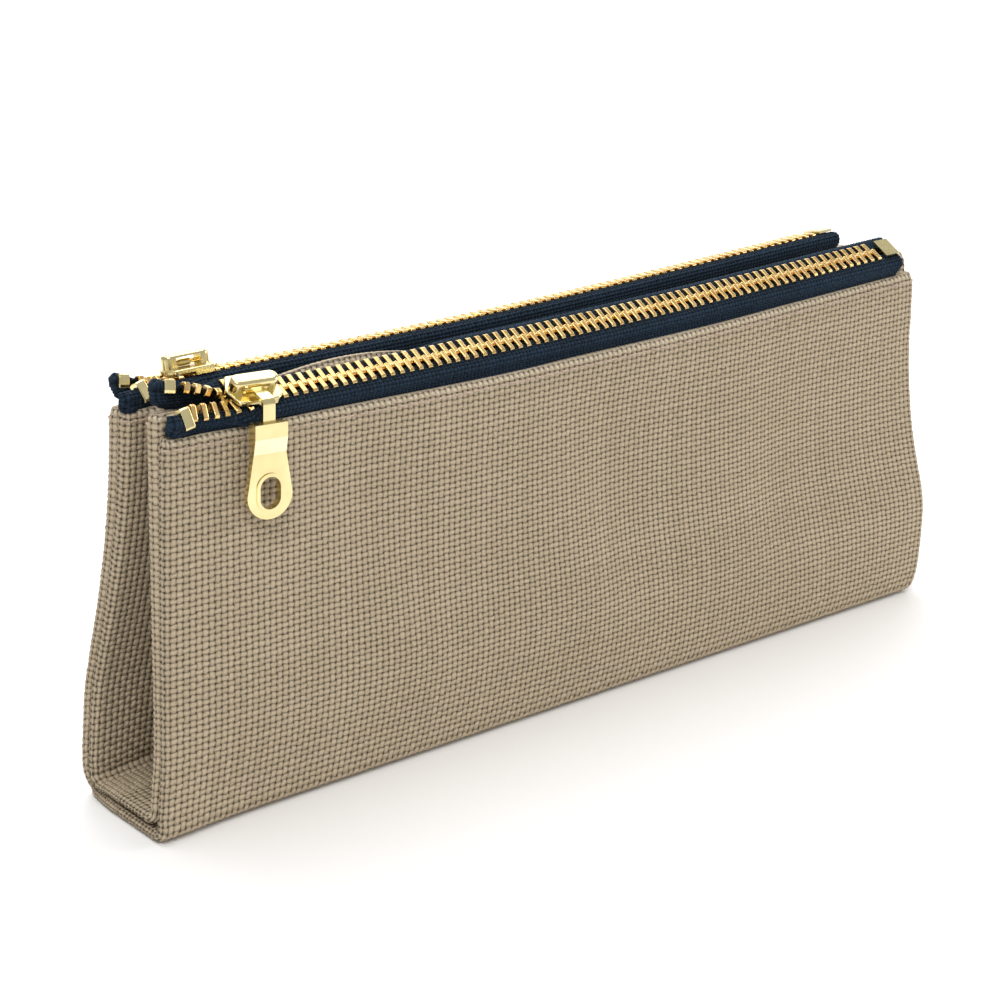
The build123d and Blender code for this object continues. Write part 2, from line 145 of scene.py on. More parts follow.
def make_light(name, place, size, watts, colour=(1, 1, 1)):
    """A rectangular light at a place in metres, facing the case."""
    data = bpy.data.lights.new(name, "AREA")
    data.shape = "RECTANGLE"
    data.size, data.size_y = size
    data.energy = watts
    data.color = colour
    light = bpy.data.objects.new(name, data)
    bpy.context.scene.collection.objects.link(light)
    light.location = place
    light.rotation_mode = "QUATERNION"
    light.rotation_quaternion = (Vector(LIGHT_TARGET) - Vector(place)).to_track_quat("-Z", "Y")


def make_studio():
    """Soft lights, a white world and a pale floor."""
    make_light("key_light", (-0.5, -0.6, 1.1), (0.5, 0.5), 6.6, WARM_WHITE)
    make_light("side_light", (1.0, -0.5, 0.4), (0.4, 0.4), 3.2, WARM_WHITE)
    make_light("top_light", (0.13, 0.4, 1.02), (1.0, 1.0), 8.2)
    make_light("back_light", (0.7, 0.85, 0.5), (1.6, 0.8), 6.5)
    world = bpy.data.worlds.new("studio")
    bpy.context.scene.world = world
    world.use_nodes = True
    background = world.node_tree.nodes["Background"]
    background.inputs["Color"].default_value = (1, 1, 1, 1)
    background.inputs["Strength"].default_value = WORLD_STRENGTH

    half = FLOOR_HALF
    corners = [(-half, -half, 0), (half, -half, 0), (half, half, 0), (-half, half, 0)]
    mesh = bpy.data.meshes.new("floor")
    mesh.from_pydata(corners, [], [(0, 1, 2, 3)])
    floor = bpy.data.objects.new("floor", mesh)
    bpy.context.scene.collection.objects.link(floor)
    material = bpy.data.materials.new("floor")
    material.use_nodes = True
    shader = material.node_tree.nodes["Principled BSDF"]
    shader.inputs["Base Color"].default_value = (0.93, 0.93, 0.93, 1)
    shader.inputs["Roughness"].default_value = 0.6
    shader.inputs["Specular IOR Level"].default_value = 0.2
    mesh.materials.append(material)
    bpy.context.scene.view_settings.view_transform = "Standard"


# ---------------------------------------------------------------- materials


class Nodes:
    """Short names for building a node tree."""

    def __init__(self, name):
        self.material = bpy.data.materials.new(name)
        self.material.use_nodes = True
        self.tree = self.material.node_tree
        self.shader = self.tree.nodes["Principled BSDF"]

    def add(self, kind, **settings):
        node = self.tree.nodes.new(kind)
        for key, value in settings.items():
            setattr(node, key, value)
        return node

    def join(self, source, socket):
        self.tree.links.new(source, socket)

    def math(self, operation, *values):
        node = self.add("ShaderNodeMath", operation=operation)
        for socket, value in zip(node.inputs, values):
            if isinstance(value, (int, float)):
                socket.default_value = value
            else:
                self.join(value, socket)
        return node.outputs[0]

    def ramp(self, value, stops):
        node = self.add("ShaderNodeValToRGB")
        self.join(value, node.inputs[0])
        elements = node.color_ramp.elements
        while len(elements) < len(stops):
            elements.new(0.5)
        for element, (place, colour) in zip(elements, stops):
            element.position = place
            element.color = (*colour, 1)
        return node.outputs[0]

    def noise(self, vector, scale, detail=2.0):
        node = self.add("ShaderNodeTexNoise")
        self.join(vector, node.inputs["Vector"])
        node.inputs["Scale"].default_value = scale
        node.inputs["Detail"].default_value = detail
        return node.outputs["Fac"]

    def mix(self, kind, share, first, second):
        node = self.add("ShaderNodeMix", data_type="RGBA", blend_type=kind)
        for socket, value in ((node.inputs[0], share), (node.inputs[6], first), (node.inputs[7], second)):
            if isinstance(value, (int, float)):
                socket.default_value = value
            elif isinstance(value, tuple):
                socket.default_value = (*value, 1)
            else:
                self.join(value, socket)
        return node.outputs[2]

    def bump(self, height, distance, strength=1.0, after=None):
        node = self.add("ShaderNodeBump")
        self.join(height, node.inputs["Height"])
        node.inputs["Distance"].default_value = distance
        node.inputs["Strength"].default_value = strength
        if after is not None:
            self.join(after, node.inputs["Normal"])
        return node.outputs["Normal"]


YARN_GAP = 1.2      # how much wider a yarn's place is than the yarn


def woven(name, hollow, dark, light, relief, fibre, fray=None):
    """Plain weave read from the UV map, whose unit is one yarn.

    hollow is the painted shade between the yarns; dark and light are the yarns' own colours; relief and fibre are
    bump heights in metres, fray the first frayed row.
    """
    n = Nodes(name)
    uv = n.add("ShaderNodeUVMap", uv_map="weave").outputs[0]
    wobble = n.add("ShaderNodeTexNoise", noise_dimensions="3D")
    n.join(uv, wobble.inputs["Vector"])
    wobble.inputs["Scale"].default_value = 0.8
    shift = n.add("ShaderNodeVectorMath", operation="MULTIPLY_ADD")
    n.join(wobble.outputs["Color"], shift.inputs[0])
    shift.inputs[1].default_value = (0.42, 0.42, 0)
    n.join(uv, shift.inputs[2])
    split = n.add("ShaderNodeSeparateXYZ")
    n.join(shift.outputs[0], split.inputs[0])
    across, along = split.outputs[0], split.outputs[1]
    column, row = n.math("FLOOR", across), n.math("FLOOR", along)

    def yarn(position, lengthways, count, phase):
        """Height of one family of yarns, from 0 in the hollows to 1 on a crown."""
        x = n.math("MULTIPLY", n.math("SUBTRACT", n.math("FRACT", position), 0.5), 2 * YARN_GAP)
        section = n.math("SQRT", n.math("MAXIMUM", n.math("SUBTRACT", 1, n.math("MULTIPLY", x, x)), 0))
        lengthways_turn = n.math("MULTIPLY", n.math("SUBTRACT", lengthways, 0.5), pi)
        turn = n.math("ADD", lengthways_turn, n.math("MULTIPLY", count, pi))
        wave = n.math("MULTIPLY", n.math("COSINE", n.math("ADD", turn, phase)), 0.4)
        return n.math("ADD", n.math("MULTIPLY", section, 0.6), wave)

    warp = yarn(across, along, column, 0.0)
    weft = yarn(along, across, row, pi)
    height = n.math("MAXIMUM", warp, weft)

    cell = n.add("ShaderNodeCombineXYZ")
    over = n.math("GREATER_THAN", warp, weft)
    n.join(n.math("MULTIPLY", column, over), cell.inputs[0])
    n.join(n.math("MULTIPLY", row, n.math("SUBTRACT", 1, over)), cell.inputs[1])
    n.join(over, cell.inputs[2])
    tone = n.add("ShaderNodeTexWhiteNoise")
    n.join(cell.outputs[0], tone.inputs["Vector"])
    fluff = n.noise(shift.outputs[0], 7.0, 3.0)
    patch = n.noise(uv, 0.06, 2.0)
    body = n.math("ADD", n.math("MULTIPLY", fluff, 0.75), n.math("MULTIPLY", tone.outputs[0], 0.12))
    body = n.math("ADD", body, n.math("MULTIPLY", patch, 0.15))
    yarn_colour = n.ramp(body, [(0.3, dark), (0.75, light)])
    # Painted shade: where the weave is low, between the crowns, the yarn colour darkens towards the hollow
    # colour.
    depth = n.math("ADD", height, n.math("MULTIPLY", fluff, 0.25))
    shade = n.ramp(depth, [(0.2, (0, 0, 0)), (0.9, (1, 1, 1))])
    colour = n.mix("MIX", shade, hollow, yarn_colour)
    if fray is not None:
        # Pale cut ends of the yarns, slanting along the sheet's last rows.
        slant = n.math("SINE", n.math("MULTIPLY", n.math("ADD", across, along), 2 * pi))
        ends = n.math("MULTIPLY", n.math("GREATER_THAN", along, fray), n.math("MAXIMUM", slant, 0.0))
        colour = n.mix("MIX", n.math("MULTIPLY", ends, 0.6), colour, (0.78, 0.70, 0.58))
    n.join(colour, n.shader.inputs["Base Color"])
    n.shader.inputs["Roughness"].default_value = 0.92
    n.shader.inputs["Specular IOR Level"].default_value = 0.12
    n.shader.inputs["Sheen Weight"].default_value = 0.03
    n.shader.inputs["Sheen Roughness"].default_value = 0.5
    weave_normal = n.bump(height, relief)
    n.join(n.bump(fluff, fibre, 1.0, weave_normal), n.shader.inputs["Normal"])
    return n.material


def thread_material():
    n = Nodes("stitching_thread")
    place = n.add("ShaderNodeTexCoord").outputs["Object"]
    twist = n.noise(place, 2500.0, 2.0)
    n.join(n.ramp(twist, [(0.3, (0.42, 0.30, 0.23)), (0.7, (0.62, 0.49, 0.39))]), n.shader.inputs["Base Color"])
    n.shader.inputs["Roughness"].default_value = 0.8
    n.join(n.bump(twist, 0.0001), n.shader.inputs["Normal"])
    return n.material


def gold_material(name, low, high):
    n = Nodes(name)
    place = n.add("ShaderNodeTexCoord").outputs["Object"]
    cloud = n.noise(place, 220.0, 3.0)
    grain = n.noise(place, 3500.0, 2.0)
    n.join(n.ramp(cloud, [(0.3, low), (0.7, high)]), n.shader.inputs["Base Color"])
    n.shader.inputs["Metallic"].default_value = 1.0
    rough = n.math("ADD", n.math("MULTIPLY", cloud, 0.12), n.math("MULTIPLY", grain, 0.08))
    n.join(n.math("ADD", rough, 0.10), n.shader.inputs["Roughness"])
    n.join(n.bump(grain, 0.00001), n.shader.inputs["Normal"])
    return n.material


TOP_YARN = 74.5         # UV height of a canvas sheet's top edge, the same on every sheet
FRAYED_YARNS = 1.3

# The hollow colours below are painted shade between the yarns.
CANVAS_CLOTH = woven(
    "canvas", hollow=(0.085, 0.064, 0.038), dark=(0.47, 0.375, 0.25), light=(0.68, 0.56, 0.405),
    relief=0.0008, fibre=0.0001, fray=TOP_YARN - FRAYED_YARNS,
)
TAPE_CLOTH = woven(
    "zip_tape", hollow=(0.001, 0.0015, 0.003), dark=(0.0028, 0.0062, 0.0115), light=(0.027, 0.06, 0.105),
    relief=0.0008, fibre=0.00005,
)
THREAD = thread_material()
GOLD = gold_material("pale_gold", (0.80, 0.67, 0.33), (0.92, 0.80, 0.44))
# A brighter gold for the pulls' collar slopes: a painted highlight.
PAINTED_HIGHLIGHT_GOLD = gold_material("painted_highlight_gold", (0.92, 0.86, 0.55), (0.98, 0.93, 0.66))
BRASS = gold_material("tooth_brass", (0.76, 0.50, 0.19), (0.92, 0.67, 0.30))


def sag(x):
    """How far the top edges and zips hang down between the ends of the case."""
    share = np.clip((x - TOP_NEAR_X) / (TOP_FAR_X - TOP_NEAR_X), 0, 1)
    return TOP_SAG * np.sin(pi * share) ** 1.3


def lifted(x):
    """Where the front pouch's inner wall stands up above its tape: 0 to 1."""
    return np.sin(pi * np.clip((x - LIFT_START) / LIFT_LENGTH, 0, 1))


# ---------------------------------------------------------------- mesh helpers

COARSE_STEP = 4     # rows and columns of a sheet's outside for each one of its inside


def to_metres(points):
    return (np.asarray(points, float).reshape(-1, 3) * MM).tolist()


def make_object(name, points, faces, material, uv=None, smooth=True):
    """A mesh object from points in millimetres; uv holds one pair per point."""
    mesh = bpy.data.meshes.new(name)
    mesh.from_pydata(to_metres(points), [], faces)
    if uv is not None:
        layer = mesh.uv_layers.new(name="weave")
        corners = np.zeros(len(mesh.loops), np.int32)
        mesh.loops.foreach_get("vertex_index", corners)
        layer.data.foreach_set("uv", np.asarray(uv, np.float32)[corners].ravel())
    work = bmesh.new()
    work.from_mesh(mesh)
    bmesh.ops.recalc_face_normals(work, faces=work.faces)
    work.to_mesh(mesh)
    work.free()
    mesh.polygons.foreach_set("use_smooth", [smooth] * len(mesh.polygons))
    mesh.materials.append(material)
    made = bpy.data.objects.new(name, mesh)
    bpy.context.scene.collection.objects.link(made)
    return made


def slab_faces(fine, step):
    """Faces of a closed slab: a fine grid of points, then a coarse one, joined around their borders."""
    rows, columns = fine
    coarse = (rows - 1) // step + 1, (columns - 1) // step + 1
    a = np.arange(rows * columns).reshape(rows, columns)
    b = np.arange(coarse[0] * coarse[1]).reshape(coarse) + rows * columns
    faces = np.stack([a[:-1, :-1], a[1:, :-1], a[1:, 1:], a[:-1, 1:]], -1).reshape(-1, 4).tolist()
    faces += np.stack([b[:-1, :-1], b[:-1, 1:], b[1:, 1:], b[1:, :-1]], -1).reshape(-1, 4).tolist()
    borders = (
        (a[0], b[0]), (a[-1, ::-1], b[-1, ::-1]),
        (a[::-1, 0], b[::-1, 0]), (a[:, -1], b[:, -1]),
    )
    for fine_edge, coarse_edge in borders:
        for index in range(len(coarse_edge) - 1):
            run = fine_edge[index * step : (index + 1) * step + 1].tolist()
            faces.append(run + [int(coarse_edge[index + 1]), int(coarse_edge[index])])
    return faces


def make_slab(name, outside, inside, uv, material):
    """A closed sheet from two grids of points: every point of the outside, every COARSE_STEP-th of the inside."""
    thin = (slice(None, None, COARSE_STEP),) * 2
    points = np.concatenate([outside.reshape(-1, 3), inside[thin].reshape(-1, 3)])
    pairs = np.concatenate([uv.reshape(-1, 2), uv[thin].reshape(-1, 2)])
    return make_object(name, points, slab_faces(outside.shape[:2], COARSE_STEP), material, pairs)


def grid_normals(grid, away_from):
    """Unit normals of a grid of points, pointing away from the given points."""
    normals = np.cross(np.gradient(grid, axis=0), np.gradient(grid, axis=1))
    normals /= np.linalg.norm(normals, axis=-1, keepdims=True) + 1e-9
    if np.sum(normals * (grid - away_from)) < 0:
        normals = -normals
    return normals


def weave_height(u, v):
    """Height of a plain weave, from -1 in a hollow to 1 on a crown; one unit of u or v is one yarn."""
    def yarn(position, lengthways, phase):
        count = np.floor(position)
        x = YARN_GAP * (2 * (position - count) - 1)
        section = 0.6 * np.sqrt(np.maximum(1 - x * x, 0))
        return section + 0.4 * np.cos(pi * (lengthways - 0.5) + pi * count + phase)

    return 2 * np.maximum(yarn(u, v, 0), yarn(v, u, pi)) - 1


# ---------------------------------------------------------------- canvas


def wall_face(wall, x_share, z):
    """y of a wall's face away from its pocket."""
    rise = np.clip((z - wall["foot"]) / (wall["top"] - wall["foot"]), 0, 1)
    top_y = wall["near"] + (wall["far"] - wall["near"]) * x_share
    swell = wall["swell"] * (1 - (2 * x_share - 1) ** 2)
    return wall["low"] + (top_y - wall["low"] + swell) * rise


def swelling(z, middle, width):
    return np.exp(-(((z - middle) / width) ** 2))


def end_x(z, top, back, spread):
    """x of the two slanting ends, with the soft flare of use; spread is 0 in the middle of the base."""
    rise = np.clip(z / top, 0, 1.02)
    near = -BASE_HALF + (TOP_NEAR_X + BASE_HALF) * rise - 0.2 - 2.3 * swelling(z, 0, 12)
    far = BASE_HALF + (TOP_FAR_X - BASE_HALF) * rise + 0.6
    far = far + 3.4 * swelling(z, 19, 16) + 1.4 * swelling(z, 78, 12) - 2.0 * swelling(z, 0, 4)
    if back:
        near = near + spread * (2.0 * swelling(z, 0, 4) - 1.2 * swelling(z, 14, 15))
    return near, far


COLUMNS = 300       # half yarns along the flat of a sheet
FOLD_COLUMNS = 8
TUCK_COLUMNS = 4
CORNER_ROWS = 4
WALL_ROWS = 120
ROUND_ROWS = 4      # rows of the rounded top edge
FOLD_REACH = 1.4    # how far a folded end bulges beyond its seam
BASE_FOLD = 1.75    # thickness of a folded end along the base
WALL_FOLD = 2.4     # and its least thickness up the walls
TUCK = 6.0
TURNED_IN = 4.0     # cloth used by the half turn before each tuck
END_ALLOWANCE = 2.0  # half the difference between the base's length and the sheet's mean length
MIN_POUCH = 4.7
HEM_DEPTH = 7.0     # how far the turned top edge reaches down
HEM_THICKNESS = 0.5
STITCH_LEVEL = 1.9  # how far the stitching lies below the top edge
RELIEF = 0.34


def pouch_depth(front, z):
    """Thickness of a pouch at its near end."""
    outer, inner = ("front_panel", "front_inner_wall") if front else ("back_panel", "back_inner_wall")
    gap = np.abs(wall_face(WALLS[inner], 0.0, z) - wall_face(WALLS[outer], 0.0, z))
    return np.maximum(gap, MIN_POUCH)


def cloth_half(name, wall_name, front, outer, ripple):
    """Half of a U-shaped sheet, from the middle of the base up one wall, its ends turned in."""
    wall = WALLS[wall_name]
    sign = -1 if front else 1
    corner = 2.6 if outer else 1.6
    top = wall["top"]
    depth = BASE_HALF_DEPTH if outer else INNER_HALF_DEPTH
    floor_z = OUTER_BASE_Z if outer else INNER_BASE_Z

    # The profile of the face away from the pocket, as arrays over rows: distance from the middle, or height.
    base_rows = 24 if outer else 16
    turn = np.linspace(0, pi / 2, CORNER_ROWS + 1)[1:]
    base_y = np.linspace(0, depth - corner, base_rows + 1)
    wall_z = np.linspace(floor_z + corner, top, WALL_ROWS + 1)[1:]
    z = np.concatenate([np.full(base_rows + 1, floor_z), floor_z + corner * (1 - np.cos(turn)), wall_z])
    rows = len(z)

    share = np.linspace(0, 1, COLUMNS + 1)
    spread = np.concatenate([(base_y / depth) ** 2, np.ones(rows - base_rows - 1)])
    near_x, far_x = end_x(z, top, not front, spread)
    x = near_x[:, None] + FOLD_REACH + (far_x - near_x - 2 * FOLD_REACH)[:, None] * share[None, :]
    flat_z = np.repeat(z[:, None], x.shape[1], axis=1)
    along = np.broadcast_to(share[None, :], x.shape)
    y = wall_face(wall, along, flat_z)
    on_base = np.concatenate([base_y, depth - corner + corner * np.sin(turn)])
    y[: len(on_base)] = sign * on_base[:, None]
    near_base = np.exp(-(((along * 2 * BASE_HALF) / 12) ** 2)) * swelling(flat_z, 0, 14)
    reach = np.minimum(np.abs(y) / depth, 1)
    y = y - near_base * reach * (FRONT_SHIFT if front else BACK_SHIFT)
    if outer and front:
        y = y - FRONT_TOE * reach * swelling(flat_z, 0, 12)
    y = y + np.clip((flat_z - 3) / 20, 0, 1) * ripple(x, flat_z)
    height = flat_z - sag(x) * (flat_z / top) ** 2
    if name == "inner_cloth_front":
        raised = lifted(x) * swelling(height, top, LIFT_REACH)
        height = height + LIFT_HEIGHT * raised
        y = y - LIFT_ASIDE * raised

    # Inward normals of the profile, one per point.
    step_y, step_z = np.gradient(y, axis=0), np.gradient(height, axis=0)
    length = np.sqrt(step_y**2 + step_z**2)
    turn_sign = sign if outer else -sign
    inward_y, inward_z = -turn_sign * step_z / length, turn_sign * step_y / length

    share_of_pouch = (0.32 if front else 0.45) if outer else (0.68 if front else 0.55)
    pouch = pouch_depth(front, z)
    fold = np.where(pouch > 5.2, WALL_FOLD + (pouch - 4.8) * (share_of_pouch - 0.02) * 1.4, WALL_FOLD)
    fold = np.minimum(fold, pouch - 2.5)
    if front:
        fold = fold + 0.35 * swelling(z, 7, 9)
    fold[: base_rows + 2] = BASE_FOLD
    fold = np.convolve(np.pad(fold, 2, mode="edge"), np.full(5, 0.2), "valid")

    def with_ends(flat, sideways, offset):
        """The flat with a strip added at each end: distances in from the end, and depths into the cloth."""
        strips = []
        for column, x_edge, inwards in ((0, near_x, 1), (-1, far_x, -1)):
            strip_x = x_edge[:, None] + inwards * sideways[None, :]
            strip_y = y[:, column, None] + inward_y[:, column, None] * offset
            strip_z = height[:, column, None] + inward_z[:, column, None] * offset
            strips.append(np.stack([strip_x, strip_y, strip_z], -1))
        return np.concatenate([strips[0][:, ::-1], flat, strips[1]], axis=1)

    # The outside: half a turn inwards at each end, then a tuck between the layers.
    angle = np.linspace(0, pi, FOLD_COLUMNS + 1)[1:]
    tuck = np.linspace(0, TUCK, TUCK_COLUMNS + 1)[1:]
    sideways = np.concatenate([FOLD_REACH * (1 - np.sin(angle)), FOLD_REACH + tuck])
    share_in = np.concatenate([(1 - np.cos(angle)) / 2, np.ones(TUCK_COLUMNS)])
    outside = with_ends(np.stack([x, y, height], -1), sideways, fold[:, None] * share_in[None, :])

    # The inside: a layer's thickness in, or half the folded thickness near the ends.
    from_end = np.minimum(np.arange(COLUMNS + 1), COLUMNS - np.arange(COLUMNS + 1)) / 12
    blend_in = np.clip(1 - from_end, 0, 1)[None, :]
    hem = np.clip((z - (top - HEM_DEPTH)) / 2, 0, 1)[:, None] * HEM_THICKNESS
    layer = (CANVAS + hem) * (1 - blend_in) + (fold[:, None] / 2 - 0.05) * blend_in
    inside_flat = np.stack([x, y + inward_y * layer, height + inward_z * layer], -1)
    out_and_back = [np.linspace(0, 0.4, FOLD_COLUMNS // 2), np.linspace(0.4, 0, FOLD_COLUMNS // 2)]
    sideways = FOLD_REACH + np.concatenate([-np.concatenate(out_and_back), tuck])
    depth_in = np.concatenate([np.linspace(-0.05, 0.05, FOLD_COLUMNS), np.full(TUCK_COLUMNS, 0.05)])
    inside = with_ends(inside_flat, sideways, (fold / 2)[:, None] + depth_in[None, :])

    # Round the top edge.
    for index in range(ROUND_ROWS):
        row = rows - ROUND_ROWS + index
        drop = 0.45 * (1 - cos(pi / 2 * (index + 1) / ROUND_ROWS))
        outside[row] += (inside[row] - outside[row]) * (drop / CANVAS)

    u = np.arange(outside.shape[1]) / 2.0
    v = (np.arange(rows) - rows) / 2.0 + TOP_YARN
    uv = np.stack(np.meshgrid(u, v), -1)
    normals = grid_normals(outside, inside)
    fade = np.clip((rows - 1 - np.arange(rows)) / 2, 0.35, 1)[:, None, None]
    random = np.random.default_rng(sum(map(ord, name)))
    uneven = 1 + 0.25 * random.standard_normal(uv.shape[:2])
    surface = outside + normals * (weave_height(uv[..., 0], uv[..., 1]) * uneven * RELIEF / 2)[..., None] * fade
    piece = make_slab(name, surface, inside, uv, CANVAS_CLOTH)
    level = int(np.argmin(np.abs(z - (top - STITCH_LEVEL))))
    end_columns = TUCK_COLUMNS + FOLD_COLUMNS // 2
    stitched = slice(end_columns, -end_columns)
    path = (outside + normals * 0.10)[level, stitched]
    make_stitches(wall_name, path, normals[level, stitched], "front_pouch" if front else "back_pouch")
    length_along = 2 * (BASE_HALF - END_ALLOWANCE) + 2 * (TUCK + TURNED_IN)
    length_up = depth + top
    return piece, (length_along * MM, length_up * MM)


STITCH_PITCH = 2.3
STITCH_HALF = 0.97      # half the length of one stitch
THREAD_RADIUS = 0.19
THREAD_SIDES = 6


def make_stitches(wall_name, path, normals, body):
    """A row of short threads along a path, each diving into the cloth at both ends."""
    steps = np.concatenate([[0], np.cumsum(np.linalg.norm(np.diff(path, axis=0), axis=1))])
    sides = THREAD_SIDES
    ring_places = np.array([-1.0, -0.85, -0.45, 0.0, 0.45, 0.85, 1.0])
    ring_sizes = np.array([0.35, 0.8, 1.0, 1.0, 1.0, 0.8, 0.35])
    angles = np.arange(sides) * 2 * pi / sides
    points, faces = [], []
    for middle in np.arange(STITCH_PITCH / 2, steps[-1], STITCH_PITCH):
        places = middle + ring_places * STITCH_HALF
        line = np.stack([np.interp(places, steps, path[:, axis]) for axis in range(3)], -1)
        up = np.stack([np.interp(middle, steps, normals[:, axis]) for axis in range(3)])
        up /= np.linalg.norm(up)
        along = line[-1] - line[0]
        along /= np.linalg.norm(along)
        across = np.cross(along, up)
        line = line + up * (0.09 - 0.28 * np.abs(ring_places[:, None]) ** 3)
        first = len(points)
        for centre, size in zip(line, ring_sizes):
            for angle in angles:
                points.append(centre + THREAD_RADIUS * size * (cos(angle) * up + sin(angle) * across))
        for ring in range(len(ring_places) - 1):
            for index in range(sides):
                a, b = first + ring * sides + index, first + ring * sides + (index + 1) % sides
                faces.append((a, b, b + sides, a + sides))
        last = first + (len(ring_places) - 1) * sides
        faces += [tuple(range(first, first + sides)), tuple(range(last, last + sides))]
    stitches = make_object(wall_name + "_threads", points, faces, THREAD)
    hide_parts(wall_name + "_topstitch")
    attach(stitches, body)


# The front panel's slanting waves: x at the top edge, how far they lean towards +X at the foot, and height.
WAVES = ((-68.0, 40.0, 1.4), (-8.0, 28.0, 2.0), (54.0, 6.0, 1.2))
WAVE_WIDTH = 9.0


def front_ripple(x, z):
    """Slanting waves of the front panel, with softer creases low at the far end."""
    rise = z / 78.0
    far = np.clip((x - 10) / 80, 0, 1)
    waves = 0.9 * np.sin(x / 10.5 + 0.9 + rise) + 0.4 * np.sin(x / 6.5 - 3 * rise)
    waves = waves * np.abs(np.sin(pi * rise)) ** 0.8
    creases = -1.3 * far * np.sin(pi * np.clip(rise * 1.15, 0, 1)) * np.sin((x - 0.55 * z) / 13 + 0.4)
    slanting = 0 * x
    for top_x, lean, height in WAVES:
        step = 1 + np.tanh((x - top_x - lean * (1 - rise)) / WAVE_WIDTH)
        slanting = slanting + height * (step - (x + 85) / 93)
    slanting = slanting * np.sin(pi * np.clip(rise * 0.94 + 0.06, 0, 1)) ** 0.7
    return 0.4 * waves + 0.6 * creases + slanting


def inner_ripple(x, z):
    """One long, shallow wave of the front pouch's inner wall."""
    return 0.5 * np.sin(x / 26 + 0.7) * np.sin(pi * z / 82.0)


def back_ripple(x, z):
    """An S-shaped bend of the back pouch at its open end, and a shallow wave along it."""
    rise = z / 80.0
    near = np.exp(-(((x + 98) / 45) ** 2))
    bend = near * (1.6 * np.sin(2 * pi * rise) * np.where(rise < 0.5, 1.0, 0.9))
    return bend + 0.5 * np.sin(x / 29) * np.sin(pi * rise)


def make_canvas():
    """The four half sheets, each blended from the base into its pouch across the pouch's fold."""
    specs = (
        ("outer_cloth_front", "front_panel", True, True, front_ripple, "front_pouch"),
        ("outer_cloth_back", "back_panel", False, True, back_ripple, "back_pouch"),
        ("inner_cloth_front", "front_inner_wall", True, False, inner_ripple, "front_pouch"),
        ("inner_cloth_back", "back_inner_wall", False, False, back_ripple, "back_pouch"),
    )
    for name, wall_name, front, outer, ripple, pouch in specs:
        piece, flat = cloth_half(name, wall_name, front, outer, ripple)
        side = "front" if front else "back"
        if outer:
            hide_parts(wall_name, "outer_base", side + "_near_end_seam", side + "_far_end_seam")
        else:
            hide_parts(wall_name, "inner_base", "near_base_seam", "far_base_seam")
        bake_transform(piece)


# ---------------------------------------------------------------- zips


def chain_middle(zip_shape, place):
    """(y, z) of the closed chain at one place along the zip."""
    share = place / (ZIP_FAR_X - ZIP_NEAR_X)
    near, far = zip_shape["near"], zip_shape["far"]
    return np.array([near[0] + (far[0] - near[0]) * share, near[1] + (far[1] - near[1]) * share])


def row_side(zip_shape, role):
    """-1 for a row in front of its chain's middle, 1 for one behind it."""
    return zip_shape["outer"] if role == "outer" else -zip_shape["outer"]


def row_frame(zip_shape, role, place):
    """Origin, direction out of the chain and direction out of the tape's face, as (y, z) pairs."""
    side = row_side(zip_shape, role)
    closed = radians(zip_shape["lean"])
    across_unit = np.array([cos(closed), sin(closed)])
    up_unit = np.array([-sin(closed), cos(closed)])
    slider = zip_shape["slider"]
    leave, post, meet = slider - 6.2, slider - 2.6, slider
    at_post = side * POST_DRIFT + POST_SHIFT
    twist = 0.0
    across, up = 0.0, 0.0
    if place < post:
        share = max(leave - place, 0) / leave
        end = zip_shape[role + "_drift"]
        across, up = at_post + (end[0] - at_post) * share, end[1] * share
        ease = 1 - (1 - share) ** 3
        twist = ease * (radians(zip_shape[role + "_end_lean"]) - closed)
    elif place < meet:
        across = at_post * (meet - place) / (meet - post)
    pivot = 1.5
    origin = chain_middle(zip_shape, place) + across_unit * (across + side * pivot) + up_unit * up
    lean = closed + twist
    outward = side * np.array([cos(lean), sin(lean)])
    face = np.array([-sin(lean), cos(lean)])
    return origin - outward * pivot, outward, face


def smooth_line(points, rounds, count):
    """Corner-cut a line of points, then space it evenly."""
    line = np.array(points, float)
    for _ in range(rounds):
        first, second = line[:-1] * 0.75 + line[1:] * 0.25, line[:-1] * 0.25 + line[1:] * 0.75
        line = np.concatenate([line[:1], np.stack([first, second], 1).reshape(-1, line.shape[1]), line[-1:]])
    steps = np.concatenate([[0], np.cumsum(np.linalg.norm(np.diff(line, axis=0), axis=1))])
    even = np.linspace(0, steps[-1], count)
    return np.stack([np.interp(even, steps, line[:, axis]) for axis in range(line.shape[1])], -1), steps[-1]


TAPE_COLUMN = 0.45      # half a yarn of the tape
TAPE_ROWS = 40
TAPE_START = -0.8       # place along the zip of a tape's near tip
NOSE_LENGTH = 2.6
NOSE_COLUMNS = 12
END_ROLL = 4.8          # place where the rolled-up near end is flat again
ROLL_THICKNESS = 1.8
NEAR_TUCK = 4.0
TAPE_RELIEF = 0.18


